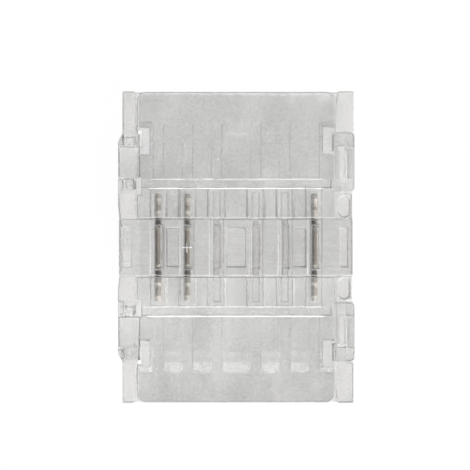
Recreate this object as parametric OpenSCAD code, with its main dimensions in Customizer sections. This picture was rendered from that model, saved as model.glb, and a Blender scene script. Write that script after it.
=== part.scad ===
// Clear two-lid connector for a 10 mm light strip, with six contact places of which three are filled.
// X runs across the strip, Y along it, Z up. The origin is at the centre of the underside.
// Each lid swings on the left wall and snaps over a catch on the right wall.

/* [Strip channel] */
// Clear width between the side walls, for a strip 10 mm wide
channel_w = 10.2; // [10.1:0.05:10.6]
// Thickness of the floor
floor_t = 0.9; // [0.8:0.05:1.4]
// Height of the side walls above the floor
wall_h = 2.2; // [2.1:0.05:3]
// Thickness of the wall that carries the hinges, at the ends
hinge_wall_t = 0.7; // [0.6:0.01:0.85]
// Thickness of the wall that carries the catches, at the ends
catch_side_t = 0.9; // [0.7:0.01:0.91]
// Thickness of the hinge brackets and knuckles, in from the outside
hinge_ear_t = 0.93; // [0.9:0.01:1]
// Thickness from the channel to the outside of a latch leg
latch_ear_t = 0.93; // [0.92:0.01:1.1]

/* [Lengths] */
// Length of the middle of the housing, between the lids' ears
centre_l = 5.48; // [5.3:0.02:6]
// Length of each gap in the side walls that takes a lid's ear
notch_l = 3.16; // [2.9:0.02:4]
// Length of each plain end, outside the ears
end_l = 2.06; // [1.5:0.02:3]

/* [Wire ribs] */
// Height of the ribs that carry the strip, above the floor
rib_h = 0.4; // [0.3:0.05:0.5]
// Length of the ribs, from the sill to the foot of the ramp
rib_l = 2.95; // [2.6:0.05:3.4]
// Length of the ramp that lifts the strip onto the ribs
ramp_l = 1.1; // [0.8:0.05:1.4]
// Width of the groove that centres a wire over its contact
groove_w = 0.56; // [0.4:0.02:0.7]
// Rounding of the ribs' outer ends
rib_r = 0.22; // [0.1:0.01:0.3]

/* [Contacts] */
// Distance between neighbouring contacts on one side
pitch = 1.5; // [1.45:0.01:1.52]
// Distance between the two contacts nearest the middle
mid_gap = 2; // [1.9:0.05:2.1]
// Thickness of the contact's sheet
contact_t = 0.32; // [0.2:0.01:0.36]
// Distance from a contact's end to the end of its well
contact_end = 0.26; // [0.15:0.01:0.35]
// Depth of the contact's bar
contact_h = 1; // [0.8:0.02:1.2]
// Gap under the contact, up from the underside
contact_recess = 0.25; // [0.1:0.01:0.35]
// Height of the teeth above the strip's underside
tooth_rise = 1; // [0.8:0.02:1.2]
// Width of a tooth at its root
tooth_w = 0.56; // [0.45:0.01:0.62]
// Length of the web that holds the contact in the middle bar
web_l = 2.2; // [1.8:0.05:2.4]
// Height of that web above the contact's bar
web_h = 1.6; // [1:0.05:1.8]
// How far the stamped bulges stand out of the web
bulge_t = 0.08; // [0.05:0.01:0.1]

/* [Middle bar] */
// Thickness of the bar that stops both strips
bar_t = 2.86; // [2.6:0.02:3]
// Width of the well around a contact's teeth
well_w = 0.8; // [0.6:0.02:0.9]
// Length of the well
well_l = 1.6; // [1.45:0.05:1.8]
// Thickness of the floor left under the well
well_floor = 0.5; // [0.35:0.05:0.6]
// Thickness of the sill between the wells and the grooves
sill_t = 0.47; // [0.35:0.01:0.6]
// Length of the hollows moulded into the bar and the side walls
hollow_l = 2; // [1.6:0.05:2.3]
// Width of a hollow between two neighbouring contacts
hollow_w = 0.62; // [0.4:0.02:0.68]
// Width of the hollow in the middle of the bar
mid_hollow_w = 0.98; // [0.7:0.02:1.1]
// Width of the hollows in the side walls
side_hollow_w = 0.44; // [0.2:0.02:0.46]
// Width of the shallow guide over each contact place, across the top of the bar
guide_w = 0.72; // [0.5:0.02:0.76]
// Depth of that guide
guide_d = 0.08; // [0.04:0.01:0.15]

/* [Lids] */
// Thickness of a lid's plate
lid_t = 1; // [0.8:0.05:1.4]
// Gap between a lid and the top of the side walls
lid_gap = 0.1; // [0.08:0.01:0.2]
// How much narrower than the channel a lid's plate is, on each side
lid_side_gap = 0.07; // [0.04:0.01:0.12]
// Gap between a lid and the middle bar
bar_gap = 0.07; // [0.05:0.01:0.12]
// How far a lid stops short of the housing's end
lid_end_gap = 0.06; // [0:0.01:0.15]
// Radius of the plate's outer corners
lid_corner_r = 0.45; // [0.2:0.05:0.7]
// Space left between the pressing comb and the ribs
press_gap = 0.5; // [0.4:0.02:0.6]
// Width of the comb's slot over a contact
relief_w = 0.9; // [0.7:0.02:0.95]
// Distance from the channel's walls to the comb's ends
press_inset = 0.25; // [0.22:0.01:0.4]

/* [Hinge] */
// Half the width of the square knuckle on the lid
knuckle_half = 0.55; // [0.5:0.01:0.58]
// Rounding of the knuckle's lower corners
knuckle_r = 0.2; // [0.16:0.01:0.3]
// Radius of the stub pins on the knuckle
stub_r = 0.25; // [0.18:0.01:0.28]
// Length of a stub pin
stub_l = 0.5; // [0.35:0.01:0.55]
// Thickness of a hinge bracket
bracket_t = 0.72; // [0.66:0.01:0.8]
// Height of the hinge axis below the top of the side walls
hinge_drop = 0.2; // [0.17:0.01:0.24]

/* [Latch] */
// Thickness of the latch leg
leg_t = 0.43; // [0.38:0.01:0.44]
// Thickness of the wall that the leg closes over
catch_wall_t = 0.45; // [0.38:0.01:0.46]
// How far the catch stands out of that wall
catch_d = 0.2; // [0.12:0.01:0.22]
// Length of the catch
catch_l = 1.54; // [1.2:0.02:1.8]
// Height of the window in the leg
window_h = 1.2; // [1.1:0.05:1.25]
// Width of the slot beside the leg that lets it flex
flex_w = 0.24; // [0.16:0.01:0.26]
// Length of that slot
flex_l = 1.6; // [1.2:0.05:1.9]
// Width of the slot's crossing end
flex_head_w = 0.4; // [0.26:0.01:0.44]

/* [Hidden] */
$fn = 48;

over = 0.5;          // how far a cut runs past the face that it opens
skim = 0.01;         // how far a cut or a feature passes a face that it starts on
root = 0.1;          // how far a feature runs into what carries it
run_gap = 0.06;      // gap beside a moving ear or knuckle
pin_gap = 0.03;      // radial gap of a stub pin in its socket
slot_gap = 0.02;     // gap on each side of a contact in its slot
latch_gap = 0.03;    // gap between the catch and the leg's lip
ear_corner_r = 0.25; // rounding of the ears, seen from above
leg_corner_r = 0.15; // rounding of the leg's lower corners
flare_l = 0.6;       // length over which the left wall swells to the brackets
waist_l = 0.7;       // length over which it draws in again beside the middle bar
waist_d = 0.07;      // how far it draws in there
funnel_l = 0.5;      // length of the lead-in at the mouths
funnel_h = 0.1;      // how far that lead-in opens
side_recess = 0.08;  // how far the right wall steps in at the middle
end_gap = 0.05;      // gap at each end of a contact in its slot
tooth_inset = 0.08;  // from the contact's end to the outer tooth
tooth_gap = 0.05;    // gap between the inner tooth and the middle bar
end_bevel = [0.06, 0.2]; // length and height of the slope at a contact's end
barb_d = 0.06;       // how far the barb at the web's ends stands out
web_bevel = 0.12;    // slope at the top of the web's ends
bulge_r = [0.36, 0.18];  // radius of a stamped bulge at its root and at its top
mark_r = 0.3;        // radius of the ejector marks' round ends, beside the lids
mark_l = 0.5;        // distance between those ends
mark_d = 0.12;       // depth of the marks
nib_d = 0.2;         // how far a strip nib stands into the channel
nib_l = 0.9;         // length of a strip nib
nib_end = 0.65;      // from the nib to the foot of the ramps
floor_window_l = 1.38;   // length of the window under a nib
floor_window_end = 0.3;  // from that window to the foot of the ramps
floor_window_in = 0.17;  // from the outer groove to the window
floor_window_rim = 0.05; // from the window to the side wall
flex_head_l = 0.1;   // length of the flexing slot's crossing end
flex_inset = 0.115;  // from that slot to the leg's inner face

half_channel = channel_w / 2;
hinge_side = half_channel + hinge_wall_t;
catch_side = half_channel + catch_side_t;
hinge_ear = half_channel + hinge_ear_t;
latch_ear = half_channel + latch_ear_t;
notch_in = centre_l / 2;
notch_out = notch_in + notch_l;
half_l = notch_out + end_l;
lid_out = half_l - lid_end_gap;
notch_mid = (notch_in + notch_out) / 2;
wall_top = floor_t + wall_h;
strip_z = floor_t + rib_h;

half_bar = bar_t / 2;
well_end = half_bar + well_l;
groove_in = well_end + sill_t;
rib_out = groove_in + rib_l;
right_places = [for (n = [0:2]) mid_gap / 2 + n * pitch];
places = concat([for (n = [2:-1:0]) -right_places[n]], right_places);
outer_place = places[5];
filled_places = [places[0], places[1], places[5]];
empty_places = [places[2], places[3], places[4]];

contact_top = contact_recess + contact_h;
contact_l = 2 * (well_end - contact_end);
tooth_pitch = well_l - contact_end - tooth_inset - tooth_w - tooth_gap;
tooth_tip_z = strip_z + tooth_rise;
tooth_foot_z = contact_top + 0.1;
web_top = contact_top + web_h;
barb_z = [contact_top + web_h * 0.3, contact_top + web_h * 0.45];
slot_w = contact_t + 2 * slot_gap;

lid_z = wall_top + lid_gap;
lid_top = lid_z + lid_t;
lid_in = half_bar + bar_gap;
half_lid = half_channel - lid_side_gap;
press_z = strip_z + press_gap;
half_press = half_channel - press_inset;
press_in = well_end + 0.02;
press_out = groove_in - 0.02;
nib_low = strip_z + 0.5;
nib_tip = [strip_z + 0.65, strip_z + 0.73];
nib_high = strip_z + 0.85;

bracket_half = knuckle_half + pin_gap;
hinge_x = -(hinge_ear - bracket_half);
hinge_z = wall_top - hinge_drop;
arm_x = hinge_x + bracket_half + run_gap;
bracket_reach = norm([arm_x - hinge_x, lid_z - hinge_z]) - run_gap;
knuckle_sweep = (knuckle_half - knuckle_r) * sqrt(2) + knuckle_r;
hinge_notch_z = hinge_z - knuckle_sweep - 2 * run_gap;
knuckle_in = notch_in + bracket_t + run_gap;
knuckle_out = notch_out - bracket_t - run_gap;

catch_x = half_channel + catch_wall_t;
leg_in_x = latch_ear - leg_t;
ledge_z = floor_t + 0.1;
leg_z = ledge_z + 0.12;
window_z = leg_z + 0.48;
window_y = catch_l / 2 + 0.08;
catch_tip_x = catch_x + catch_d;
catch_low = window_z + 0.06;
catch_nose = [window_z + 0.3, window_z + 0.42];
catch_high = window_z + window_h - 0.15;
flex_x = leg_in_x - flex_inset - flex_w / 2;
flex_in = notch_mid - window_y;
ear_in = notch_in + run_gap;
ear_out = notch_out - run_gap;

// Repeats its children at the other end of the housing
module both_ends() {
    children();
    mirror([0, 1, 0]) children();
}

// Repeats its children on the other side of the channel
module both_sides() {
    children();
    mirror([1, 0, 0]) children();
}

// Extrudes an X-Z profile along Y, from y0 to y1
module along_y(y0, y1) {
    translate([0, y1, 0]) rotate([90, 0, 0]) linear_extrude(y1 - y0) children();
}

// Extrudes a Y-Z profile along X, from x0 to x1
module along_x(x0, x1) {
    translate([x0, 0, 0]) rotate([90, 0, 90]) linear_extrude(x1 - x0) children();
}

// A box given by its lowest and highest corner
module block(low, high) {
    translate(low) cube(high - low);
}

// A rectangle in plan whose two corners at the higher Y are rounded
module round_ended(low, high, r) {
    translate(low) square([high[0] - low[0], high[1] - r - low[1]]);
    translate([low[0] + r, low[1]]) square([high[0] - low[0] - 2 * r, high[1] - low[1]]);
    for (x = [low[0] + r, high[0] - r]) translate([x, high[1] - r]) circle(r);
}

// Plan of the housing: straight end walls, a swollen hinge side with a waist, a stepped-in latch side
module housing_plan() {
    steps = 6;
    flare = [for (i = [0:steps]) [
        -hinge_side - (hinge_ear - hinge_side) * (1 - cos(180 * i / steps)) / 2,
        notch_out - flare_l * i / steps
    ]];
    waist = [[-hinge_ear, half_bar + waist_l], [-hinge_ear + waist_d, half_bar]];
    back = concat(flare, waist);
    front = [for (i = [len(back) - 1:-1:0]) [back[i][0], -back[i][1]]];
    polygon(concat(
        [[catch_side, half_l], [-hinge_side, half_l]],
        back,
        front,
        [[-hinge_side, -half_l], [catch_side, -half_l], [catch_side, -notch_in]],
        [[catch_side - side_recess, -notch_in], [catch_side - side_recess, notch_in]],
        [[catch_side, notch_in]]
    ));
}

// Side walls and floor, with a gap in each wall for the ears of both lids
module tray() {
    difference() {
        linear_extrude(wall_top) housing_plan();
        block([-half_channel, -half_l - over, floor_t], [half_channel, half_l + over, wall_top + over]);
        both_ends() {
            block([-hinge_ear - over, notch_in, hinge_notch_z],
                  [-half_channel + skim, notch_out, wall_top + over]);
            block([catch_x, notch_in, ledge_z], [latch_ear + over, notch_out, wall_top + over]);
            mouth_funnel();
        }
    }
}

// Lead-in at the mouth: the floor's edge and both walls slope away
module mouth_funnel() {
    along_x(-half_channel, half_channel)
        polygon([[half_l - funnel_l, floor_t + skim / 10], [half_l + over, floor_t + skim / 10],
                 [half_l + over, floor_t - funnel_h], [half_l, floor_t - funnel_h]]);
    both_sides() translate([0, 0, floor_t]) linear_extrude(wall_h + over)
        polygon([[half_channel - root, half_l - funnel_l], [half_channel, half_l - funnel_l],
                 [half_channel + funnel_h, half_l], [half_channel + funnel_h, half_l + over],
                 [half_channel - root, half_l + over]]);
}

// Plan of the ribs at one end: the bed between the grooves, each strip of it with a rounded end
module rib_plan() {
    sides = [for (x = places) each [x - groove_w / 2, x + groove_w / 2]];
    edges = concat([-half_channel], sides, [half_channel]);
    translate([-half_channel, half_bar - root]) square([channel_w, groove_in - half_bar + root]);
    for (n = [0:2:len(edges) - 2])
        round_ended([edges[n], groove_in - root], [edges[n + 1], rib_out], rib_r);
}

// Ribs and ramps at one end, with the sill next to the wells
module rib_bed() {
    intersection() {
        along_x(-half_channel, half_channel)
            polygon([[half_bar - root, floor_t - root], [half_bar - root, strip_z],
                     [rib_out - ramp_l, strip_z], [rib_out, floor_t], [rib_out, floor_t - root]]);
        linear_extrude(strip_z + over) rib_plan();
    }
}

// Bar across the middle that holds the contacts and stops both strips, level with the shut lids
module middle_bar() {
    linear_extrude(lid_top) intersection() {
        housing_plan();
        translate([-hinge_ear, -half_bar]) square([hinge_ear + latch_ear, bar_t]);
    }
}

// Hollows that keep the bar and the side walls even in section
module bar_hollows() {
    for (x = [-1, 1] * (outer_place - pitch / 2)) hollow(x, hollow_w, strip_z, lid_top + over);
    hollow(0, mid_hollow_w, strip_z, lid_top + over);
    hollow(-(half_channel + hinge_ear) / 2, side_hollow_w, floor_t, lid_top + over);
    hollow((half_channel + catch_side - side_recess) / 2, side_hollow_w, floor_t, lid_top + over);
}

// One hollow: a slot of width w, from z0 to z1
module hollow(x, w, z0, z1) {
    block([x - w / 2, -hollow_l / 2, z0], [x + w / 2, hollow_l / 2, z1]);
}

// One contact's place: a slot from z0 up, a pocket for the web, a well at each end and a guide on the bar
module contact_place(x, z0) {
    slot_half = contact_l / 2 + end_gap;
    pocket_half = web_l / 2 + end_gap;
    translate([x, 0, 0]) {
        block([-slot_w / 2, -slot_half, z0], [slot_w / 2, slot_half, contact_top]);
        block([-slot_w / 2, -pocket_half, z0], [slot_w / 2 + bulge_t, pocket_half, web_top]);
        both_ends() block([-well_w / 2, half_bar, well_floor], [well_w / 2, well_end, strip_z + over]);
        block([-guide_w / 2, -half_bar - over, lid_top - guide_d],
              [guide_w / 2, half_bar + over, lid_top + over]);
    }
}

// Hinge bracket of the housing, between two places along Y: flat on top, within reach of the lid's edge
module hinge_bracket(y0, y1) {
    intersection() {
        along_y(y0, y1) {
            intersection() {
                translate([hinge_x, hinge_z]) circle(bracket_reach);
                translate([-hinge_ear, 0]) square([2 * bracket_half, hinge_z + bracket_half]);
            }
            translate([-hinge_ear, 0]) square([2 * bracket_half, hinge_z]);
        }
        linear_extrude(lid_top) intersection() {
            housing_plan();
            translate([-hinge_ear, -half_l]) square([hinge_ear - half_channel, 2 * half_l]);
        }
    }
}

// Round seats for both stub pins, each with a narrower way in from above
module hinge_sockets() {
    socket_mouth = stub_r * 0.8;
    for (y = [[knuckle_in - run_gap - stub_l, knuckle_in], [knuckle_out, knuckle_out + run_gap + stub_l]]) {
        translate([hinge_x, y[0], hinge_z]) rotate([-90, 0, 0])
            cylinder(r = stub_r + pin_gap, h = y[1] - y[0]);
        block([hinge_x - socket_mouth, y[0], hinge_z], [hinge_x + socket_mouth, y[1], lid_top]);
    }
}

// Catch on the outside of the right wall, sloped on top for the leg to ride over
module catch_nib() {
    along_y(notch_mid - catch_l / 2, notch_mid + catch_l / 2)
        polygon([[catch_x - root, catch_low], [catch_x + catch_d * 0.6, catch_low],
                 [catch_tip_x, catch_nose[0]], [catch_tip_x, catch_nose[1]],
                 [catch_x, catch_high], [catch_x - root, catch_high]]);
}

// Nibs that keep the strip's edges down, each over a window in the floor
module strip_nibs() {
    both_sides() along_y(rib_out - nib_end - nib_l, rib_out - nib_end)
        polygon([[half_channel + root, nib_low], [half_channel - nib_d, nib_tip[0]],
                 [half_channel - nib_d, nib_tip[1]], [half_channel + root, nib_high]]);
}

// Windows through the floor under the nibs
module floor_windows() {
    window_x = outer_place + groove_w / 2 + floor_window_in;
    window_out = rib_out - floor_window_end;
    both_sides() block([window_x, window_out - floor_window_l, -over],
                       [half_channel - floor_window_rim, window_out, strip_z + over]);
}

// Ejector mark with round ends in the top of the right wall
module ejector_mark() {
    mark_x = (half_channel + catch_side - side_recess) / 2;
    translate([mark_x, (half_bar + notch_in) / 2, wall_top - mark_d]) {
        for (y = [-1, 1] * mark_l / 2) translate([0, y, 0]) cylinder(r = mark_r, h = mark_d + over);
        block([-mark_r, -mark_l / 2, 0], [mark_r, mark_l / 2, mark_d + over]);
    }
}

module base_housing() {
    color("gainsboro") difference() {
        union() {
            tray();
            middle_bar();
            both_ends() {
                rib_bed();
                hinge_bracket(notch_in - skim, notch_in + bracket_t);
                hinge_bracket(notch_out - bracket_t, notch_out + skim);
                catch_nib();
                strip_nibs();
            }
        }
        for (x = filled_places) contact_place(x, -over);
        for (x = empty_places) contact_place(x, contact_recess);
        bar_hollows();
        both_ends() {
            hinge_sockets();
            floor_windows();
            ejector_mark();
        }
    }
}

// Plan of a lid's plate: round outer corners, cut back beside the hinge, an ear over the right wall
module lid_plan() {
    difference() {
        round_ended([-half_lid, lid_in], [half_lid, lid_out], lid_corner_r);
        translate([-half_lid - over, notch_in - run_gap])
            square([half_lid + over + arm_x, notch_l + 2 * run_gap]);
    }
    ear_plan();
}

// Plan of the ear, rounded where it meets the open air
module ear_plan() {
    ear_l = ear_out - ear_in;
    round_x = latch_ear - ear_corner_r;
    translate([half_lid - root, ear_in]) square([round_x - half_lid + root, ear_l]);
    translate([half_lid, ear_in + ear_corner_r]) square([latch_ear - half_lid, ear_l - 2 * ear_corner_r]);
    for (y = [ear_in + ear_corner_r, ear_out - ear_corner_r]) translate([round_x, y]) circle(ear_corner_r);
}

// Plate with a lead-in under its outer edge and the slot that lets the latch leg flex
module lid_plate() {
    difference() {
        translate([0, 0, lid_z]) linear_extrude(lid_t) lid_plan();
        along_x(-half_lid - over, half_lid + over)
            polygon([[lid_out - funnel_l, lid_z - skim / 10], [lid_out + over, lid_z - skim / 10],
                     [lid_out + over, lid_z + funnel_h], [lid_out, lid_z + funnel_h]]);
        translate([0, 0, lid_z - over]) linear_extrude(lid_t + 2 * over) flex_slot_plan();
    }
}

// Plan of the flexing slot: one end round, the outer end crossed by a short bar
module flex_slot_plan() {
    flex_out = flex_in + flex_l;
    translate([flex_x, flex_in + flex_w / 2]) circle(flex_w / 2);
    translate([flex_x - flex_w / 2, flex_in + flex_w / 2]) square([flex_w, flex_l - flex_w / 2]);
    translate([flex_x - flex_head_w / 2, flex_out - flex_head_l]) square([flex_head_w, flex_head_l]);
}

// Comb that presses the strip down between the teeth, with a bar across its outer edge
module press_comb() {
    inner_teeth = outer_place - relief_w / 2;
    block([-half_press, press_in, press_z], [half_press, press_out, lid_z + root]);
    difference() {
        block([-inner_teeth, lid_in, press_z], [inner_teeth, press_out, lid_z + root]);
        for (x = places)
            block([x - relief_w / 2, lid_in - over, press_z - over], [x + relief_w / 2, press_in, lid_z]);
    }
}

// Hinge arm as high as the plate, square knuckle with round lower corners, and stub pins
module lid_knuckle() {
    corner = knuckle_half - knuckle_r;
    along_y(knuckle_in, knuckle_out) {
        translate([hinge_x - knuckle_half, hinge_z - corner])
            square([2 * knuckle_half, lid_top - hinge_z + corner]);
        translate([hinge_x - corner, hinge_z - knuckle_half]) square([2 * corner, knuckle_half]);
        for (x = [-corner, corner]) translate([hinge_x + x, hinge_z - corner]) circle(knuckle_r);
        translate([hinge_x, lid_z]) square([arm_x + root - hinge_x, lid_t]);
    }
    translate([hinge_x, knuckle_in - stub_l, hinge_z]) rotate([-90, 0, 0])
        cylinder(r = stub_r, h = knuckle_out - knuckle_in + 2 * stub_l);
}

// Leg that closes over the catch, with the window that the catch stands in and a lip below it
module latch_leg() {
    ear_l = ear_out - ear_in;
    leg_h = lid_top - leg_z;
    difference() {
        intersection() {
            linear_extrude(lid_top) intersection() {
                ear_plan();
                translate([leg_in_x, notch_in]) square([leg_t + over, notch_l]);
            }
            along_x(leg_in_x - over, latch_ear + over) {
                translate([ear_in, leg_z + leg_corner_r]) square([ear_l, leg_h]);
                translate([ear_in + leg_corner_r, leg_z]) square([ear_l - 2 * leg_corner_r, leg_h]);
                for (y = [ear_in + leg_corner_r, ear_out - leg_corner_r])
                    translate([y, leg_z + leg_corner_r]) circle(leg_corner_r);
            }
        }
        block([leg_in_x - over, notch_mid - window_y, window_z],
              [latch_ear + over, notch_mid + window_y, window_z + window_h]);
        block([leg_in_x - over, notch_mid - window_y, leg_z - over],
              [catch_tip_x + latch_gap, notch_mid + window_y, window_z + window_h]);
    }
}

module lid() {
    color("whitesmoke") {
        lid_plate();
        press_comb();
        lid_knuckle();
        latch_leg();
    }
}

// Outline of a contact in the Y-Z plane, one half, up to the middle
module contact_half() {
    half = contact_l / 2;
    web = web_l / 2;
    polygon([[0, contact_recess], [half, contact_recess], [half, contact_top - end_bevel[1]],
             [half - end_bevel[0], contact_top], [0, contact_top]]);
    polygon([[0, contact_top - root], [web - barb_d / 2, contact_top - root], [web, barb_z[0]],
             [web - barb_d, barb_z[1]], [web - barb_d, web_top - web_bevel],
             [web - barb_d - web_bevel, web_top], [0, web_top]]);
    for (n = [0, 1]) translate([half - tooth_inset - n * tooth_pitch, 0])
        polygon([[0, contact_top - root], [0, tooth_foot_z], [-tooth_w * 0.3, tooth_tip_z],
                 [-tooth_w * 0.42, tooth_tip_z], [-tooth_w, tooth_foot_z], [-tooth_w, contact_top - root]]);
}

// One stamped contact: bar on edge, two teeth at each end, a web with two bulges in the middle
module contact(x) {
    color("tan") translate([x, 0, 0]) {
        along_x(-contact_t / 2, contact_t / 2) {
            contact_half();
            mirror([1, 0]) contact_half();
        }
        both_ends() translate([contact_t / 2 - root, web_l / 4, tooth_foot_z]) rotate([0, 90, 0])
            cylinder(r1 = bulge_r[0], r2 = bulge_r[1], h = bulge_t + root);
    }
}

base_housing();
lid();  // back_lid
mirror([0, 1, 0]) lid();  // front_lid
contact(places[0]);  // contact_1
contact(places[1]);  // contact_2
contact(places[5]);  // contact_6
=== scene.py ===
"""Dresses the clear two-lid strip connector and sets up its studio."""

import logging
import math
from abc import ABC, abstractmethod
from collections.abc import Callable
from dataclasses import dataclass, field
from enum import Enum
from functools import partial

import bpy
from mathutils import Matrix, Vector
from mathutils.geometry import intersect_point_line

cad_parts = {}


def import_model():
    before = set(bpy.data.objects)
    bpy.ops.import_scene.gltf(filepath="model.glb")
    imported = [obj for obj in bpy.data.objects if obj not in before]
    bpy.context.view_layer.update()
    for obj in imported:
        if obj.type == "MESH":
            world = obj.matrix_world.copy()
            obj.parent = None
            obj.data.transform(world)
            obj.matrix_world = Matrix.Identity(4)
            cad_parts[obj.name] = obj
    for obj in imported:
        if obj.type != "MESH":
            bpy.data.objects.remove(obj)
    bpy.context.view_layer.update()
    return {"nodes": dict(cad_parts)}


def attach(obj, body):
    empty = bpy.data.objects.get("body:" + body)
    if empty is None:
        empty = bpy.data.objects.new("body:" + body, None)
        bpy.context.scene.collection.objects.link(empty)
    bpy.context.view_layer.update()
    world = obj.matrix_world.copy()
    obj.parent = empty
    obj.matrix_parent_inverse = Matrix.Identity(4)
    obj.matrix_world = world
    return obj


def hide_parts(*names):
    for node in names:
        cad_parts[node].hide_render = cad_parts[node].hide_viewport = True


LOG = logging.getLogger("strip_connector")
MM = 0.001

# Attribute that a bevel takes its weights from
EDGE_WEIGHT = "bevel_weight_edge"

# Kinds of the shared groups' sockets
FLOAT = "NodeSocketFloat"
COLOUR = "NodeSocketColor"

# Sockets of a colour mix, which has several of the same name
MIX_FIRST = 6
MIX_SECOND = 7
MIX_RESULT = 2

# Share of a length from which a direction counts as one with another or with an axis
IN_LINE = 0.9

Colour = tuple[float, float, float]
Ends = tuple[int, int]


class Slot(Enum):
    """Material slots of the record."""

    HOUSING = "clear_housing"
    LID = "clear_lid"
    CONTACT = "tinned_contact"


def opaque(colour: Colour) -> tuple[float, float, float, float]:
    """Turns a colour into the four numbers that a socket takes.

    Args:
        colour: Red, green and blue.

    Returns:
        The same colour with full alpha.
    """
    return (*colour, 1)


def grey(tone: float) -> tuple[float, float, float, float]:
    """Turns a tone into the four numbers that a socket takes.

    Args:
        tone: How light it is.

    Returns:
        The grey with full alpha.
    """
    return opaque((tone, tone, tone))


def deselect_all() -> None:
    """Deselects every object, so that an operator only meets what is chosen next."""
    if bpy.context.object and bpy.context.object.mode != "OBJECT":
        bpy.ops.object.mode_set(mode="OBJECT")
    bpy.ops.object.select_all(action="DESELECT")


def choose(piece: bpy.types.Object) -> None:
    """Makes a piece the only selected and the active object.

    Args:
        piece: The object to work on.
    """
    deselect_all()
    piece.select_set(True)
    bpy.context.view_layer.objects.active = piece


def choose_faces(
    piece: bpy.types.Object, wanted: Callable[[bpy.types.MeshPolygon], bool]
) -> None:
    """Selects some faces of the active piece and stays in edit mode.

    Args:
        piece: The active object.
        wanted: Tells whether a face is one of them.
    """
    bpy.ops.object.mode_set(mode="EDIT")
    bpy.ops.mesh.select_mode(type="FACE")
    bpy.ops.mesh.select_all(action="DESELECT")
    bpy.ops.object.mode_set(mode="OBJECT")
    for face in piece.data.polygons:
        face.select = wanted(face)
    bpy.ops.object.mode_set(mode="EDIT")


def apply_modifiers(piece: bpy.types.Object) -> None:
    """Applies every modifier of a piece, in order.

    Args:
        piece: The object whose modifiers become part of its mesh.
    """
    choose(piece)
    for modifier in list(piece.modifiers):
        bpy.ops.object.modifier_apply(modifier=modifier.name)


def bevel(
    piece: bpy.types.Object, name: str, width: float, segments: int, **settings: object
) -> None:
    """Rounds edges of a piece.

    Args:
        piece: The object.
        name: What the bevel is for.
        width: Its width, in metres.
        segments: Number of faces around an edge.
        settings: Other attributes of the bevel.
    """
    modifier = piece.modifiers.new(name, "BEVEL")
    modifier.width = width
    modifier.segments = segments
    for setting, value in settings.items():
        setattr(modifier, setting, value)
    apply_modifiers(piece)


def faces_beside_edges(mesh: bpy.types.Mesh) -> dict[Ends, list[bpy.types.MeshPolygon]]:
    """Finds the faces that meet at each edge.

    Args:
        mesh: The mesh.

    Returns:
        The faces, by the edge's vertices in rising order.
    """
    faces_at: dict[Ends, list[bpy.types.MeshPolygon]] = {}
    for face in mesh.polygons:
        for ends in face.edge_keys:
            faces_at.setdefault(ends, []).append(face)
    return faces_at


def weigh_edges(mesh: bpy.types.Mesh, shares: dict[Ends, float]) -> None:
    """Gives the edges of a mesh their bevel weights.

    Args:
        mesh: The mesh.
        shares: Weight of each edge that has one, by its vertices in rising order.
    """
    weights = mesh.attributes.new(EDGE_WEIGHT, "FLOAT", "EDGE")
    for edge in mesh.edges:
        weights.data[edge.index].value = shares.get(edge.key, 0.0)


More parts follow.
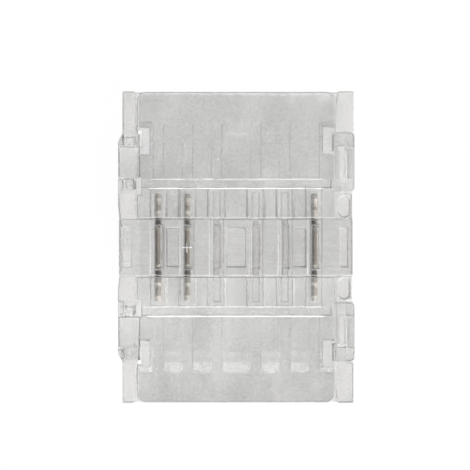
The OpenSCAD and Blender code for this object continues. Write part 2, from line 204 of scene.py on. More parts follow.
class NodeGraph:
    """A short way to add and link shader nodes in one node tree."""

    def __init__(self, tree: bpy.types.NodeTree) -> None:
        """Starts from an empty tree.

        Args:
            tree: The node tree of a material, a world or a group.
        """
        self.tree = tree
        tree.nodes.clear()

    def add(
        self, kind: str, inputs: dict[str | int, object] | None = None, **settings: object
    ) -> bpy.types.Node:
        """Adds a node, sets its properties and fills its inputs.

        Args:
            kind: The node's Blender type name.
            inputs: A socket to link or a plain value for some of its inputs, by name or by number.
            settings: Attributes of the node.

        Returns:
            The new node.
        """
        node = self.tree.nodes.new(kind)
        for name, value in settings.items():
            setattr(node, name, value)
        for place, term in (inputs or {}).items():
            if isinstance(term, bpy.types.NodeSocket):
                self.tree.links.new(term, node.inputs[place])
            else:
                node.inputs[place].default_value = term
        return node

    def compute(self, operation: str, *terms: object) -> bpy.types.NodeSocket:
        """Adds a maths node.

        Args:
            operation: What it does.
            terms: Sockets or numbers that it does it with, in order.

        Returns:
            Its result.
        """
        node = self.add("ShaderNodeMath", dict(enumerate(terms)), operation=operation)
        return node.outputs["Value"]

    def spread(
        self,
        value: bpy.types.NodeSocket,
        low: float,
        high: float,
        to_low: object = 0.0,
        to_high: object = 1.0,
    ) -> bpy.types.NodeSocket:
        """Spreads the values between two limits over another range.

        Args:
            value: The value.
            low: Value that gives the start of the new range.
            high: Value that gives its end.
            to_low: Start of the new range, a socket or a number.
            to_high: End of the new range, a socket or a number.

        Returns:
            The new value, which stays between the new limits.
        """
        limits = {"From Min": low, "From Max": high, "To Min": to_low, "To Max": to_high}
        return self.add("ShaderNodeMapRange", {"Value": value, **limits}).outputs["Result"]

    def blend(
        self, share: bpy.types.NodeSocket, first: object, second: object, kind: str = "MIX"
    ) -> bpy.types.NodeSocket:
        """Mixes two colours.

        Args:
            share: Share of the second colour.
            first: The first colour, a socket or four numbers.
            second: The second colour, a socket or four numbers.
            kind: The way in which the second colour acts on the first.

        Returns:
            The mixed colour.
        """
        inputs = {"Factor": share, MIX_FIRST: first, MIX_SECOND: second}
        node = self.add("ShaderNodeMix", inputs, data_type="RGBA", blend_type=kind)
        return node.outputs[MIX_RESULT]

    def place(self) -> bpy.types.NodeSocket:
        """Returns the place on the piece, which every pattern goes by.

        Returns:
            The Object coordinates.
        """
        return self.add("ShaderNodeTexCoord").outputs["Object"]

    def noise(
        self,
        scale: float | tuple[float, float, float],
        detail: float,
        roughness: float = 0.5,
        distortion: float = 0.0,
    ) -> bpy.types.NodeSocket:
        """Adds noise that is tied to the piece.

        Args:
            scale: Its scale, or one for each axis where the noise is stretched.
            detail: Number of finer layers.
            roughness: How much the finer layers count.
            distortion: How far it's twisted.

        Returns:
            The noise.
        """
        where = self.place()
        if isinstance(scale, tuple):
            where = self.add("ShaderNodeMapping", {"Vector": where, "Scale": scale}).outputs[0]
            scale = 1
        inputs = {"Vector": where, "Scale": scale, "Detail": detail}
        inputs.update({"Roughness": roughness, "Distortion": distortion})
        return self.add("ShaderNodeTexNoise", inputs).outputs["Fac"]

    def surface(
        self, share: bpy.types.NodeSocket, first: bpy.types.Node, second: bpy.types.Node
    ) -> bpy.types.NodeSocket:
        """Mixes two shaders.

        Args:
            share: Share of the second shader.
            first: The first shader's node.
            second: The second shader's node.

        Returns:
            The mixed shader.
        """
        inputs = {"Fac": share, 1: first.outputs[0], 2: second.outputs[0]}
        return self.add("ShaderNodeMixShader", inputs).outputs["Shader"]

    def seen_directly(self) -> bpy.types.NodeSocket:
        """Tells rays of the camera, of gloss and through plastic from the rest.

        Returns:
            A socket that is 1 for those rays and 0 for others.
        """
        rays = self.add("ShaderNodeLightPath").outputs
        seen = self.compute("MAXIMUM", rays["Is Camera Ray"], rays["Is Glossy Ray"])
        return self.compute("MAXIMUM", seen, rays["Is Transmission Ray"])


def new_material(name: str) -> tuple[bpy.types.Material, NodeGraph]:
    """Makes an empty material.

    Args:
        name: Its name.

    Returns:
        The material and its graph.
    """
    material = bpy.data.materials.new(name)
    material.use_nodes = True
    return material, NodeGraph(material.node_tree)


class SharedGroup(ABC):
    """A node group that several materials share.

    Attributes:
        name: Name of the group.
        inputs: Kind of each input.
        outputs: Kind of each output.
    """

    name: str
    inputs: dict[str, str]
    outputs: dict[str, str]

    def tree(self) -> bpy.types.NodeTree:
        """Gets the group, and makes it when it's first asked for.

        Returns:
            The group's node tree.
        """
        if self.name in bpy.data.node_groups:
            return bpy.data.node_groups[self.name]
        group = bpy.data.node_groups.new(self.name, "ShaderNodeTree")
        for side, sockets in (("INPUT", self.inputs), ("OUTPUT", self.outputs)):
            for socket, kind in sockets.items():
                group.interface.new_socket(socket, in_out=side, socket_type=kind)
        graph = NodeGraph(group)
        given = graph.add("NodeGroupInput").outputs
        graph.add("NodeGroupOutput", self.fill(graph, given))
        return group

    @abstractmethod
    def fill(
        self, graph: NodeGraph, given: dict[str, bpy.types.NodeSocket]
    ) -> dict[str, bpy.types.NodeSocket]:
        """Adds the group's own nodes.

        Args:
            graph: The group's graph.
            given: What comes in, by name.

        Returns:
            What goes out, by name.
        """


class FlowMarks(SharedGroup):
    """Flow marks, haze and texture of moulded plastic.

    It gives the roughness from clean to marked, the colour from clear to hazy and a bump height.
    """

    name = "moulding flow marks"
    inputs = {"Clean": FLOAT, "Marked": FLOAT, "Clear": COLOUR, "Hazy": COLOUR}
    outputs = {"Roughness": FLOAT, "Height": FLOAT, "Color": COLOUR}
    grain_depth = 0.35

    def fill(
        self, graph: NodeGraph, given: dict[str, bpy.types.NodeSocket]
    ) -> dict[str, bpy.types.NodeSocket]:
        """Adds wide flow marks and a fine grain, which cloud the plastic where both are strong.

        Args:
            graph: The group's graph.
            given: What comes in, by name.

        Returns:
            What goes out, by name.
        """
        flow = graph.noise(scale=(700, 450, 700), detail=5, roughness=0.6, distortion=0.4)
        grain = graph.noise(scale=9000, detail=3)
        clouded = graph.spread(graph.compute("MULTIPLY", flow, grain), low=0.16, high=0.37)
        rough = graph.spread(
            flow, low=0.4, high=0.7, to_low=given["Clean"], to_high=given["Marked"]
        )
        return {
            "Roughness": rough,
            "Height": graph.compute("MULTIPLY_ADD", grain, self.grain_depth, flow),
            "Color": graph.blend(clouded, given["Clear"], given["Hazy"]),
        }


class MouldedZone(SharedGroup):
    """Tint of one zone of a moulding, which looks a little lighter or darker than the rest.

    The zone is where X, and Y on either side of the middle, lie within a distance of a value.
    """

    name = "moulded zone"
    inputs = {
        "Color": COLOUR,
        "Tint": COLOUR,
        "X Middle": FLOAT,
        "X Half": FLOAT,
        "Y Middle": FLOAT,
        "Y Half": FLOAT,
    }
    outputs = {"Color": COLOUR}

    def fill(
        self, graph: NodeGraph, given: dict[str, bpy.types.NodeSocket]
    ) -> dict[str, bpy.types.NodeSocket]:
        """Adds a mask of the zone, and multiplies the colour by the tint there.

        Args:
            graph: The group's graph.
            given: What comes in, by name.

        Returns:
            What goes out, by name.
        """
        place = graph.add("ShaderNodeSeparateXYZ", {"Vector": graph.place()}).outputs
        aside = graph.compute("ABSOLUTE", place["Y"])
        within_x = graph.compute("COMPARE", place["X"], given["X Middle"], given["X Half"])
        within_y = graph.compute("COMPARE", aside, given["Y Middle"], given["Y Half"])
        within = graph.compute("MULTIPLY", within_x, within_y)
        return {"Color": graph.blend(within, given["Color"], given["Tint"], kind="MULTIPLY")}


class ToolMarks(SharedGroup):
    """Fine streaks of a ground mould, along X, within a distance of the plane Y = 0."""

    name = "tool marks"
    inputs = {"Color": COLOUR, "Strength": FLOAT, "Y Half": FLOAT}
    outputs = {"Color": COLOUR}

    def fill(
        self, graph: NodeGraph, given: dict[str, bpy.types.NodeSocket]
    ) -> dict[str, bpy.types.NodeSocket]:
        """Adds the streaks, and darkens the colour in them.

        Args:
            graph: The group's graph.
            given: What comes in, by name.

        Returns:
            What goes out, by name.
        """
        place = graph.add("ShaderNodeSeparateXYZ", {"Vector": graph.place()}).outputs
        near = graph.compute("COMPARE", place["Y"], 0.0, given["Y Half"])
        streaks = graph.spread(graph.noise(scale=(350, 9000, 350), detail=3), low=0.4, high=0.65)
        strength = graph.compute("MULTIPLY", streaks, given["Strength"])
        share = graph.compute("MULTIPLY", strength, near)
        return {"Color": graph.blend(share, given["Color"], grey(0.0))}


@dataclass(frozen=True)
class Zone:
    """A zone of a moulding that looks a little lighter or darker than the rest.

    Attributes:
        x: Least and greatest X, in millimetres.
        y: Least and greatest distance from the middle plane Y = 0, in millimetres.
        tint: Factor on the colour.
    """

    x: tuple[float, float]
    y: tuple[float, float]
    tint: float

    def colour(self, graph: NodeGraph, colour: bpy.types.NodeSocket) -> bpy.types.NodeSocket:
        """Adds the zone to a material.

        Args:
            graph: The material's graph.
            colour: The colour before the zone.

        Returns:
            The colour with the zone's tint.
        """
        inputs = {"Color": colour, "Tint": grey(self.tint)}
        for axis, (low, high) in (("X", self.x), ("Y", self.y)):
            inputs[f"{axis} Middle"] = (low + high) / 2 * MM
            inputs[f"{axis} Half"] = (high - low) / 2 * MM
        return graph.add("ShaderNodeGroup", inputs, node_tree=MouldedZone().tree()).outputs["Color"]


@dataclass(frozen=True)
class ClearPlastic:
    """Clear moulded plastic with a faint grey cast, flow marks and a fine mould texture.

    Attributes:
        name: Name of the material.
        clear: Colour that light keeps at a clean surface.
        hazy: Colour that it keeps where the flow marks are.
        clarity: Share of the light that passes, where the rest is scattered as milky haze.
        depth: How fast light fades inside the plastic, per metre.
        depth_tint: Colour that light fades towards.
        bending: Index of refraction.
        polish: Roughness of the clean surface.
        haze: Roughness that the flow marks add at most.
        ripple: Strength of the surface's unevenness.
        ripple_depth: Depth of the surface's unevenness, in metres.
        passing: Share of the lamps' light that each surface lets through to what is behind it.
        zones: Zones that are lighter or darker.
        streaks: Strength of the tool marks, or 0 for none.
        streaks_half: Distance from the plane Y = 0 that the tool marks reach, in metres.
    """

    name: str
    clear: Colour
    hazy: Colour
    clarity: float = 0.9
    depth: float = 40.0
    depth_tint: Colour = (0.5, 0.5, 0.46)
    bending: float = 1.46
    polish: float = 0.05
    haze: float = 0.08
    ripple: float = 0.03
    ripple_depth: float = 0.05 * MM
    passing: float = 0.95
    zones: tuple[Zone, ...] = ()
    streaks: float = 0.0
    streaks_half: float = 1.5 * MM

    def colour(self, graph: NodeGraph, colour: bpy.types.NodeSocket) -> bpy.types.NodeSocket:
        """Adds the zones and the tool marks to the plastic's colour.

        Args:
            graph: The material's graph.
            colour: The colour with its flow marks.

        Returns:
            The finished colour.
        """
        for zone in self.zones:
            colour = zone.colour(graph, colour)
        if self.streaks:
            inputs = {"Color": colour, "Strength": self.streaks, "Y Half": self.streaks_half}
            ground = graph.add("ShaderNodeGroup", inputs, node_tree=ToolMarks().tree())
            colour = ground.outputs["Color"]
        return colour

    def build(self) -> bpy.types.Material:
        """Makes the material.

        Returns:
            The finished material.
        """
        material, graph = new_material(self.name)
        marks = graph.add(
            "ShaderNodeGroup",
            {
                "Clean": self.polish,
                "Marked": self.polish + self.haze,
                "Clear": opaque(self.clear),
                "Hazy": opaque(self.hazy),
            },
            node_tree=FlowMarks().tree(),
        ).outputs
        relief = {"Strength": self.ripple, "Distance": self.ripple_depth}
        bump = graph.add("ShaderNodeBump", {"Height": marks["Height"], **relief})
        plastic = graph.add(
            "ShaderNodeBsdfPrincipled",
            {
                "Base Color": self.colour(graph, marks["Color"]),
                "Roughness": marks["Roughness"],
                "Normal": bump.outputs["Normal"],
                "Transmission Weight": self.clarity,
                "IOR": self.bending,
            },
        )
        passing = graph.add("ShaderNodeBsdfTransparent", {"Color": grey(self.passing)})
        shadow = graph.add("ShaderNodeLightPath").outputs["Is Shadow Ray"]
        fading = {"Color": opaque(self.depth_tint), "Density": self.depth}
        inside = graph.add("ShaderNodeVolumeAbsorption", fading)
        outputs = {
            "Surface": graph.surface(shadow, plastic, passing),
            "Volume": inside.outputs["Volume"],
        }
        graph.add("ShaderNodeOutputMaterial", outputs)
        return material


@dataclass(frozen=True)
class TinnedSheet:
    """Tinned contact sheet, dull and a little brown in patches, with painted shade on its left
    side.

    Attributes:
        name: Name of the material.
        painted_shade_side: The left side of the sheet, darkened as painted shade.
        bright: Colour of the tin.
        dark: Colour of the sheared and tarnished patches.
        patches: Scale of the patches along X, Y and Z.
        metal: Share of metal in the tin's dull coat.
        polish: Least and greatest roughness.
    """

    name: str
    painted_shade_side: Zone
    bright: Colour = (1.0, 0.94, 0.85)
    dark: Colour = (0.85, 0.78, 0.69)
    patches: tuple[float, float, float] = (6000, 900, 2500)
    metal: float = 0.1
    polish: tuple[float, float] = (0.25, 0.45)

    def build(self) -> bpy.types.Material:
        """Makes the material.

        Returns:
            The finished material.
        """
        material, graph = new_material(self.name)
        noise = graph.noise(scale=self.patches, detail=3)
        tin = graph.blend(noise, opaque(self.dark), opaque(self.bright))
        least, most = self.polish
        rough = graph.spread(noise, low=0.0, high=1.0, to_low=least, to_high=most)
        # Painted shade: the left side is darkened, on the side away from the key lamp.
        inputs = {"Base Color": self.painted_shade_side.colour(graph, tin), "Roughness": rough}
        sheet = graph.add("ShaderNodeBsdfPrincipled", {**inputs, "Metallic": self.metal})
        graph.add("ShaderNodeOutputMaterial", {"Surface": sheet.outputs["BSDF"]})
        return material


@dataclass(frozen=True)
class Glint:
    """A milky white finish, brighter and fainter in patches, with a glow of its own that paints a
    highlight where one is given.

    Attributes:
        name: Name of the material.
        colour: Colour of the milky scatter.
        glow: Strength of the light that the finish gives off itself, a painted glow though it is no
            lamp.
        roughness: Roughness of its surface.
        patches: Scale of the patches.
        faintest: How much of the faintest patches shows.
    """

    name: str
    colour: Colour = (0.95, 0.95, 0.95)
    glow: float = 0.6
    roughness: float = 0.6
    patches: float = 700
    faintest: float = 0.35

    def build(self) -> bpy.types.Material:
        """Makes the material.

        Returns:
            The finished material.
        """
        material, graph = new_material(self.name)
        patches = graph.noise(scale=self.patches, detail=4)
        inputs = {
            "Base Color": opaque(self.colour),
            "Roughness": self.roughness,
            # Painted highlight: the emission makes the finish glow though it is no lamp.
            "Emission Color": opaque(self.colour),
            "Emission Strength": self.glow,
            "Alpha": graph.spread(patches, low=0.42, high=0.58, to_low=self.faintest),
        }
        milk = graph.add("ShaderNodeBsdfPrincipled", inputs)
        graph.add("ShaderNodeOutputMaterial", {"Surface": milk.outputs["BSDF"]})
        return material


@dataclass
class RoundedPiece:
    """A piece with the true form of its CAD node and the small edge radii of the real one.

    Attributes:
        node: Name of the CAD node that the piece stands for.
        body: Body that it rides on.
        slot: Material slot of the record. It is not used.
        edge_r: Radius of the edges where there is room for it, in metres.
        crease: Smallest angle between two faces that counts as an edge, in degrees.
        segments: Number of faces around an edge.
        sharp_x: X of the hinge's inner side, in metres. Inner corners beyond it stay sharp, so
            that the lids turn.
        ramp_r: How far the soft start of each ramp reaches on either side of it, in metres, or 0
            for a sharp one.
        ramp_turn: Least and greatest angle between the faces at the start of a ramp, in degrees.
        ramp_segments: Number of faces around the start of a ramp.
        seam: Distance under which two vertices are one, in metres.
        flatness: Angle under which two faces are one, in degrees.
        smooth: Greatest angle that is shaded smooth, in degrees.
        apart: How many radii two rounded edges have to be apart.
        abreast: Share of the way between two edges that may run along them.
        least_share: Share of the radius under which an edge stays sharp.
        least_step: Length, in radii, under which the next edge in line leaves no room.
        piece: The finished piece.
    """

    node: str
    body: str
    slot: Slot
    edge_r: float = 0.05 * MM
    crease: float = 14.0
    segments: int = 3
    sharp_x: float = -4.8 * MM
    ramp_r: float = 0.0
    ramp_turn: tuple[float, float] = (15.0, 25.0)
    ramp_segments: int = 6
    seam: float = 0.0002 * MM
    flatness: float = 0.5
    smooth: float = 35.0
    apart: float = 2.3
    abreast: float = 0.7
    least_share: float = 0.3
    least_step: float = 0.4
    piece: bpy.types.Object | None = field(default=None, init=False)

    def shape(
        self,
        source: bpy.types.Object,
        finish: bpy.types.Material,
        edge_finish: bpy.types.Material,
    ) -> None:
        """Copies the CAD node, joins its loose triangles and rounds its edges.

        Args:
            source: The CAD node's object.
            finish: The finish of the faces.
            edge_finish: The finish of the rounded edges.
        """
        mesh = source.data.copy()
        mesh.materials.clear()
        mesh.materials.append(finish)
        mesh.materials.append(edge_finish)
        self.piece = bpy.data.objects.new(f"{self.node}_finished", mesh)
        bpy.context.scene.collection.objects.link(self.piece)
        choose(self.piece)
        bpy.ops.object.mode_set(mode="EDIT")
        bpy.ops.mesh.select_all(action="SELECT")
        bpy.ops.mesh.remove_doubles(threshold=self.seam)
        bpy.ops.mesh.dissolve_limited(angle_limit=math.radians(self.flatness))
        bpy.ops.object.mode_set(mode="OBJECT")
        if self.ramp_r:
            self.soften_ramps(mesh)
        self.round_edges(mesh)
        bpy.ops.object.shade_smooth_by_angle(angle=math.radians(self.smooth))
        normals = self.piece.modifiers.new("flat faces stay flat", "WEIGHTED_NORMAL")
        normals.weight = 100
        normals.keep_sharp = True
        apply_modifiers(self.piece)

    def soften_ramps(self, mesh: bpy.types.Mesh) -> None:
        """Rounds the shallow edges where the ribs' ramps begin.

        Args:
            mesh: The joined mesh.
        """
        least, greatest = (math.cos(math.radians(turn)) for turn in reversed(self.ramp_turn))
        starts = {
            ends: 1.0
            for ends, pair in faces_beside_edges(mesh).items()
            if len(pair) == 2 and least < pair[0].normal.dot(pair[1].normal) < greatest
        }
        weigh_edges(mesh, starts)
        bevel(self.piece, "soft ramps", self.ramp_r, self.ramp_segments, limit_method="WEIGHT")
        mesh.attributes.remove(mesh.attributes[EDGE_WEIGHT])

    def round_edges(self, mesh: bpy.types.Mesh) -> None:
        """Rounds each sharp edge: less beside narrow faces, and not at all where it's crowded.

        Args:
            mesh: The joined mesh.
        """
        turn = math.cos(math.radians(self.crease))
        faces_at = faces_beside_edges(mesh)
        spots = [vertex.co.copy() for vertex in mesh.vertices]
        neighbours: dict[int, list[int]] = {}
        for low, high in faces_at:
            neighbours.setdefault(low, []).append(high)
            neighbours.setdefault(high, []).append(low)
        sharp = {
            ends
            for ends, pair in faces_at.items()
            if len(pair) == 2
            and pair[0].normal.dot(pair[1].normal) < turn
            and not self.stays_sharp(spots, ends, pair)
        }
        across = self.room_across(mesh, spots, sharp)
        shares: dict[Ends, float] = {}
        for ends in sharp:
            room = min(
                self.room(spots, neighbours, *ends),
                self.room(spots, neighbours, *reversed(ends)),
                across.get(ends, self.edge_r),
            )
            share = min(1.0, room / self.edge_r)
            if share > self.least_share:
                shares[ends] = share
        weigh_edges(mesh, shares)
        bevel(
            self.piece,
            "edge radii",
            self.edge_r,
            self.segments,
            limit_method="WEIGHT",
            use_clamp_overlap=False,
            loop_slide=False,
            material=1,
        )

    def stays_sharp(
        self, spots: list[Vector], ends: Ends, pair: list[bpy.types.MeshPolygon]
    ) -> bool:
        """Tells whether an edge is an inner corner at the hinge, which stays clear of the lids.

        Args:
            spots: Places of the vertices.
            ends: The edge's vertices.
            pair: The two faces that meet there.

        Returns:
            Whether it stays sharp.
        """
        first, last = spots[ends[0]], spots[ends[1]]
        inner = (pair[1].center - pair[0].center).dot(pair[0].normal) > 0
        return inner and max(first.x, last.x) < self.sharp_x

    def room_across(
        self, mesh: bpy.types.Mesh, spots: list[Vector], sharp: set[Ends]
    ) -> dict[Ends, float]:
        """Finds the largest radius that the far side of a narrow face leaves room for.

        Args:
            mesh: The joined mesh.
            spots: Places of the vertices.
            sharp: The edges that are rounded.

        Returns:
            The radius in metres, for the edges that have less room than they need.
        """
        rooms: dict[Ends, float] = {}
        for face in mesh.polygons:
            rims = [ends for ends in face.edge_keys if ends in sharp]
            for ends in rims:
                first, last = spots[ends[0]], spots[ends[1]]
                along = (last - first).normalized()
                for other in rims:
                    if set(other) & set(ends):
                        continue
                    for tip in other:
                        foot, share = intersect_point_line(spots[tip], first, last)
                        if not 0 <= share <= 1:
                            foot = first if share < 0 else last
                        way = spots[tip] - foot
                        beside = abs(way.dot(along)) < self.abreast * way.length
                        if way.length < self.apart * self.edge_r and beside:
                            for key in (ends, other):
                                least = rooms.get(key, self.edge_r)
                                rooms[key] = min(least, way.length / self.apart)
        return rooms

    def room(
        self, spots: list[Vector], neighbours: dict[int, list[int]], end: int, far: int
    ) -> float:
        """Finds the largest radius that the other edges at one end of an edge leave room for.

        Args:
            spots: Places of the vertices.
            neighbours: Vertices that each vertex shares an edge with.
            end: Vertex at this end of the edge.
            far: Vertex at its other end.

        Returns:
            The radius in metres.
        """
        edge = spots[far] - spots[end]
        room = self.edge_r
        straight = False
        for other in neighbours[end]:
            if other == far:
                continue
            reach = spots[other] - spots[end]
            facing = reach.normalized().dot(edge.normalized())
            if facing > IN_LINE:
                return 0.0
            if facing < -IN_LINE:
                straight = True
                if reach.length < self.least_step * self.edge_r:
                    return 0.0
            else:
                room = min(room, reach.length / self.apart)
        return room if straight else min(room, edge.length / self.apart)

    def attach(self) -> None:
        """Ties the piece to the frame."""
        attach(self.piece, self.body)
        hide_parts(self.node)
        LOG.info("%s: %d faces", self.piece.name, len(self.piece.data.polygons))


def finish_piece(
    piece: bpy.types.Object, name: str, body: str, finish: bpy.types.Material
) -> None:
    """Names a new piece, gives it its finish and ties it to the frame.

    Args:
        piece: The finished shape.
        name: Name of the piece.
        body: Body that it rides on.
        finish: Its material.
    """
    smooth = 60
    choose(piece)
    bpy.ops.object.transform_apply(location=True, rotation=True, scale=True)
    piece.name = name
    piece.data.materials.clear()
    piece.data.materials.append(finish)
    bpy.ops.object.shade_smooth_by_angle(angle=math.radians(smooth))
    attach(piece, body)
    LOG.info("%s: %d faces", name, len(piece.data.polygons))


@dataclass(frozen=True)
class PaintedHighlightLine:
    """A fine glowing thread in a lid, along X above an edge of the comb, which is a painted
    highlight of that edge.

    Attributes:
        name: Name of the piece.
        body: Lid that it is in.
        y: Its place along Y, in millimetres.
        radius: Its radius, in millimetres.
        half: Half its length without the tapers, in millimetres.
        z: Height of its axis, in millimetres.
        sides: Number of faces around it.
        taper: Length of the taper at each end, in radii.
        narrowing: How much the taper takes off the radius, in radii.
    """

    name: str
    body: str
    y: float
    radius: float
    half: float = 4.3
    z: float = 4.14
    sides: int = 12
    taper: float = 6.0
    narrowing: float = 0.6

    def build(self, finish: bpy.types.Material) -> None:
        """Models the line as a thread with tapered ends.

        Args:
            finish: Its material.
        """
        radius = self.radius * MM
        deselect_all()
        bpy.ops.mesh.primitive_cylinder_add(
            vertices=self.sides,
            radius=radius,
            depth=2 * self.half * MM,
            location=(0, self.y * MM, self.z * MM),
            rotation=(0, math.pi / 2, 0),
        )
        thread = bpy.context.object
        bpy.ops.object.transform_apply(location=True, rotation=True)
        choose_faces(thread, lambda face: abs(face.normal.x) > IN_LINE)
        bpy.ops.mesh.inset(
            thickness=self.narrowing * radius, depth=self.taper * radius, use_individual=True
        )
        bpy.ops.object.mode_set(mode="OBJECT")
        finish_piece(thread, self.name, self.body, finish)


@dataclass(frozen=True)
class Bubbles:
    """A few small air bubbles in a lid's plate.

    Attributes:
        name: Name of the piece.
        body: Lid that they are in.
        places: X, Y and radius of each, in millimetres.
        z: Height of their centres, in millimetres.
        long: Their length along Y as a share of their width.
        flat: Their height as a share of their width.
    """

    name: str
    body: str
    places: tuple[tuple[float, float, float], ...]
    z: float = 3.85
    long: float = 1.25
    flat: float = 0.6

    def build(self, finish: bpy.types.Material) -> None:
        """Models the bubbles as flattened balls in one piece.

        Args:
            finish: Their material.
        """
        balls = []
        for x, y, radius in self.places:
            deselect_all()
            centre = (x * MM, y * MM, self.z * MM)
            bpy.ops.mesh.primitive_ico_sphere_add(
                subdivisions=2, radius=radius * MM, location=centre
            )
            bpy.ops.object.mode_set(mode="EDIT")
            bpy.ops.transform.resize(value=(1, self.long, self.flat), center_override=centre)
            bpy.ops.object.mode_set(mode="OBJECT")
            balls.append(bpy.context.object)
        deselect_all()
        for ball in balls:
            ball.select_set(True)
        bpy.context.view_layer.objects.active = balls[0]
        bpy.ops.object.join()
        finish_piece(balls[0], self.name, self.body, finish)


@dataclass(frozen=True)
class PlusMark:
    """A small raised plus on the middle bar, which stands for the moulded mark of the real one.

    Attributes:
        centre: X and Y of its middle, in millimetres.
        arm: Length of each arm from the middle, in millimetres.
        width: Width of the arms, in millimetres.
        base: Height of the surface that it stands on, in millimetres.
        relief: How far it stands out, in millimetres.
        edge_r: Radius of its edges, in millimetres.
    """

    centre: tuple[float, float] = (-2.52, 0.0)
    arm: float = 0.25
    width: float = 0.06
    base: float = 2.84
    relief: float = 0.06
    edge_r: float = 0.015

    def is_root(self, axis: int, side: int, face: bpy.types.MeshPolygon) -> bool:
        """Tells whether a face is the side of the block that an arm grows from.

        Args:
            axis: Axis of the arm, 0 for X or 1 for Y.
            side: 1 for the arm along the axis, or -1 for the one against it.
            face: The face.

        Returns:
            Whether it is.
        """
        reach, slack = 0.6 * self.width, 0.1 * self.width
        along = abs(face.center[axis] / MM - self.centre[axis])
        across = abs(face.center[1 - axis] / MM - self.centre[1 - axis])
        return face.normal[axis] * side > IN_LINE and along < reach and across < slack

    def build(self, finish: bpy.types.Material) -> None:
        """Models the plus from one block, whose side faces are extruded into arms.

        Args:
            finish: Its material.
        """
        deselect_all()
        centre = [value * MM for value in (*self.centre, self.base + self.relief / 2)]
        bpy.ops.mesh.primitive_cube_add(size=self.width * MM, location=centre)
        plus = bpy.context.object
        bpy.ops.object.transform_apply(location=True)
        for axis in (0, 1):
            for side in (-1, 1):
                step = [0.0, 0.0, 0.0]
                step[axis] = side * (self.arm - self.width / 2) * MM
                choose_faces(plus, partial(self.is_root, axis, side))
                bpy.ops.mesh.extrude_region_move(TRANSFORM_OT_translate={"value": step})
                bpy.ops.object.mode_set(mode="OBJECT")
        bevel(plus, "soft edges", self.edge_r * MM, segments=2)
        finish_piece(plus, "plus_mark", "housing", finish)


@dataclass(frozen=True)
class Lamp:
    """A square lamp that shines on the connector.

    Attributes:
        name: Its name.
        place: Its place, in metres.
        size: Length of its sides, in metres.
        power: Its power, in watts.
    """

    name: str
    place: tuple[float, float, float]
    size: float
    power: float

    def hang(self) -> None:
        """Adds the lamp to the scene."""
        data = bpy.data.lights.new(self.name, "AREA")
        data.size = self.size
        data.energy = self.power
        light = bpy.data.objects.new(self.name, data)
        light.location = self.place
        light.rotation_euler = (-Vector(self.place)).to_track_quat("-Z", "Y").to_euler()
        bpy.context.scene.collection.objects.link(light)


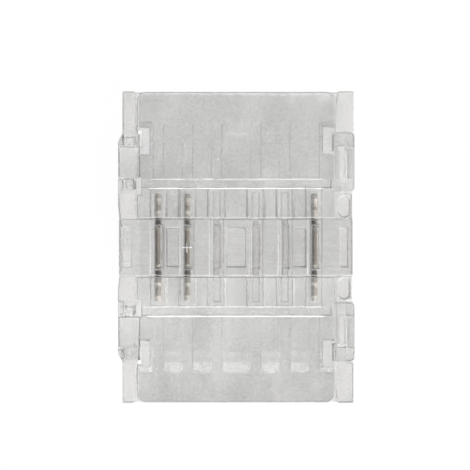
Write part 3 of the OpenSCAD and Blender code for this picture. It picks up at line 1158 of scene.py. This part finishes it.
@dataclass(frozen=True)
class Studio:
    """A plain white floor, soft light and the camera of the photograph.

    Attributes:
        view_centre: Point that the middle of the frame shows, in metres.
        frame_width: Width that the frame covers at the lids, in metres.
        lens: Focal length, in millimetres of a 36 mm sensor.
        lid_height: Height at which that width is measured, in metres.
        near: Distance from which the camera sees, in metres.
        floor_half: Half the floor's width, in metres.
        floor_gap: Gap between the floor and the underside, in metres.
        floor_tone: Tone of the floor's paper.
        floor_glow: Brightness of the floor's own light.
        glow_share: Share of that light in what shows directly.
        lamps: A key lamp at the front right, and a softer one that the ramps reflect.
        ambient: Brightness of the surroundings as a light.
        lamp_side: Direction in which the surroundings are brightest.
        bright_side: Brightness that gloss and clear plastic see on that side.
        dark_side: Brightness that they see on the opposite side.
        bounces: Number of times that light may bounce, or pass a plastic surface.
        clear_bounces: Number of transparent surfaces that it may pass.
    """

    view_centre: tuple[float, float] = (-0.06 * MM, 0.63 * MM)
    frame_width: float = 23.95 * MM
    lens: float = 400.0
    lid_height: float = 3.5 * MM
    near: float = 0.01
    floor_half: float = 0.25
    floor_gap: float = 0.02 * MM
    floor_tone: float = 0.8
    floor_glow: float = 1.05
    glow_share: float = 0.9
    lamps: tuple[Lamp, ...] = (
        Lamp("key", (0.19, -0.22, 0.17), size=0.3, power=1.25),
        Lamp("front", (0, -0.21, 0.25), size=0.125, power=0.28),
    )
    ambient: float = 0.28
    lamp_side: tuple[float, float, float] = (0.6, -0.8, 0.0)
    bright_side: float = 1.0
    dark_side: float = 0.1
    bounces: int = 24
    clear_bounces: int = 16

    def camera(self) -> None:
        """Places the camera straight above the connector, with +Y up in the frame."""
        data = bpy.data.cameras.new("camera")
        data.lens = self.lens
        data.clip_start = self.near
        distance = self.frame_width * data.lens / data.sensor_width
        camera = bpy.data.objects.new("camera", data)
        camera.location = (*self.view_centre, self.lid_height + distance)
        bpy.context.scene.collection.objects.link(camera)
        bpy.context.scene.camera = camera

    def floor(self) -> None:
        """Lays the white floor, which shows white to the camera and through the plastic."""
        bpy.ops.mesh.primitive_plane_add(
            size=2 * self.floor_half, location=(0, 0, -self.floor_gap)
        )
        plane = bpy.context.object
        plane.name = "floor"
        material, graph = new_material("white floor")
        paper = graph.add("ShaderNodeBsdfDiffuse", {"Color": grey(self.floor_tone)})
        glow = graph.add("ShaderNodeEmission", {"Strength": self.floor_glow})
        share = graph.compute("MULTIPLY", graph.seen_directly(), self.glow_share)
        outputs = {"Surface": graph.surface(share, paper, glow)}
        graph.add("ShaderNodeOutputMaterial", outputs)
        plane.data.materials.append(material)

    def world(self) -> None:
        """Surrounds the scene, white to the camera and darker away from the key lamp."""
        world = bpy.data.worlds.new("pale world")
        bpy.context.scene.world = world
        world.use_nodes = True
        graph = NodeGraph(world.node_tree)
        direction = graph.add("ShaderNodeTexCoord").outputs["Generated"]
        facing = graph.add(
            "ShaderNodeVectorMath", {0: direction, 1: self.lamp_side}, operation="DOT_PRODUCT"
        ).outputs["Value"]
        sides = graph.spread(
            facing, low=-1.0, high=1.0, to_low=self.dark_side, to_high=self.bright_side
        )
        camera = graph.add("ShaderNodeLightPath").outputs["Is Camera Ray"]
        strength = graph.compute("MAXIMUM", sides, camera)
        light = graph.add("ShaderNodeBackground", {"Color": grey(self.ambient)})
        seen = graph.add("ShaderNodeBackground", {"Strength": strength})
        surface = graph.surface(graph.seen_directly(), light, seen)
        graph.add("ShaderNodeOutputWorld", {"Surface": surface})

    def build(self) -> None:
        """Builds the whole studio."""
        self.camera()
        self.floor()
        for lamp in self.lamps:
            lamp.hang()
        self.world()
        scene = bpy.context.scene
        scene.view_settings.view_transform = "Standard"
        scene.cycles.max_bounces = self.bounces
        scene.cycles.transmission_bounces = self.bounces
        scene.cycles.transparent_max_bounces = self.clear_bounces


def housing_plastic() -> bpy.types.Material:
    """Makes the housing's plastic, darker on the bar and lighter on the ribs.

    Returns:
        The finished material.
    """
    bar, bed_end, outside, empty_half = 1.5, 6.4, 7, 0.25
    empty_places = tuple(
        Zone(x=(place - empty_half, place + empty_half), y=(0, bar), tint=1.14)
        for place in (-1.0, 1.0, 2.5)
    )
    return ClearPlastic(
        "clear housing plastic",
        clear=(0.85, 0.845, 0.835),
        hazy=(0.7, 0.695, 0.69),
        zones=(
            Zone(x=(-4.9, 4.9), y=(0, bar), tint=0.9),
            *empty_places,
            Zone(x=(4.9, outside), y=(0, bar), tint=0.9),
            Zone(x=(5.0, 5.75), y=(bar, 3.1), tint=0.92),
            Zone(x=(-outside, outside), y=(bar, 3.5), tint=1.05),
            Zone(x=(-5, 5), y=(3.5, bed_end), tint=1.03),
        ),
        streaks=0.1,
    ).build()


def lid_plastic() -> bpy.types.Material:
    """Makes the lids' plastic, lighter over the walls and over the comb.

    Returns:
        The finished material.
    """
    plate, outside, past_end = 4.95, 7, 9
    return ClearPlastic(
        "clear lid plastic",
        clear=(0.82, 0.822, 0.818),
        hazy=(0.66, 0.662, 0.658),
        zones=(
            Zone(x=(-outside, -plate), y=(0, past_end), tint=1.19),
            Zone(x=(plate, outside), y=(0, past_end), tint=1.14),
            Zone(x=(-plate, plate), y=(0, 3.47), tint=1.1),
        ),
    ).build()


def contact_tin(name: str, node: bpy.types.Object) -> bpy.types.Material:
    """Makes a contact's tin, with painted shade on its left side.

    Args:
        name: Name of the CAD node.
        node: Its object.

    Returns:
        The finished material.
    """
    shaded_width, past_end, beyond = 0.15, 9, 1
    left = min(vertex.co.x for vertex in node.data.vertices) / MM
    # Painted shade: the contact's left side is darkened to 0.42.
    painted_shade_side = Zone(x=(left - beyond, left + shaded_width), y=(0, past_end), tint=0.42)
    return TinnedSheet(f"tinned {name} sheet", painted_shade_side).build()


def dress(nodes: dict[str, bpy.types.Object]) -> None:
    """Gives every CAD node its finished piece.

    Args:
        nodes: The frame's objects, by the name of the node.
    """
    fine_r = 0.04 * MM
    clear, lid = housing_plastic(), lid_plastic()
    frosted = ClearPlastic(
        "frosted plastic edge",
        clear=(0.83, 0.83, 0.82),
        hazy=(0.76, 0.76, 0.75),
        clarity=0.35,
        polish=0.25,
    ).build()
    housing = RoundedPiece("base_housing", "housing", Slot.HOUSING, fine_r, ramp_r=0.16 * MM)
    pieces = [
        (housing, clear, frosted),
        (RoundedPiece("back_lid", "back_cover", Slot.LID), lid, frosted),
        (RoundedPiece("front_lid", "front_cover", Slot.LID), lid, frosted),
    ]
    for name, node in nodes.items():
        if name.startswith("contact"):
            tin = contact_tin(name, node)
            pieces.append((RoundedPiece(name, "housing", Slot.CONTACT, fine_r), tin, tin))
    for rounded, finish, edge_finish in pieces:
        rounded.shape(nodes[rounded.node], finish, edge_finish)
        rounded.attach()


def add_details() -> None:
    """Adds painted highlight lines along the lids' combs, bubbles in the lids, and the plus, which
    also glows as a painted highlight.
    """
    # Glowing finish: the lines and the plus are painted highlights.
    glint = Glint("glowing painted highlight").build()
    for line in (
        PaintedHighlightLine("front_lid_painted_highlight", "front_cover", y=-3.5, radius=0.036),
        PaintedHighlightLine("front_lid_thin_painted_highlight", "front_cover", y=-3.02, radius=0.012),
        PaintedHighlightLine("back_lid_painted_highlight", "back_cover", y=3.0, radius=0.022),
        PaintedHighlightLine("back_lid_thin_painted_highlight", "back_cover", y=3.47, radius=0.012),
    ):
        line.build(glint)
    bubbles = Bubbles(
        "back_lid_bubbles",
        "back_cover",
        (
            (1.67, 5.4, 0.06),
            (-0.5, 5.1, 0.04),
            (-0.95, 4.5, 0.06),
            (-1.2, 4.9, 0.04),
            (-2.6, 4.6, 0.05),
        ),
    )
    bubbles.build(Glint("air bubble", colour=(0.9, 0.9, 0.9), glow=0.0).build())
    # The plus is a real mark; its glowing finish is a painted highlight.
    PlusMark().build(glint)


def main() -> None:
    """Builds the studio and dresses every piece."""
    logging.basicConfig(level=logging.INFO, format="%(name)s: %(message)s")
    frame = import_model()
    Studio().build()
    dress(frame["nodes"])
    add_details()


if __name__ == "__main__":
    main()
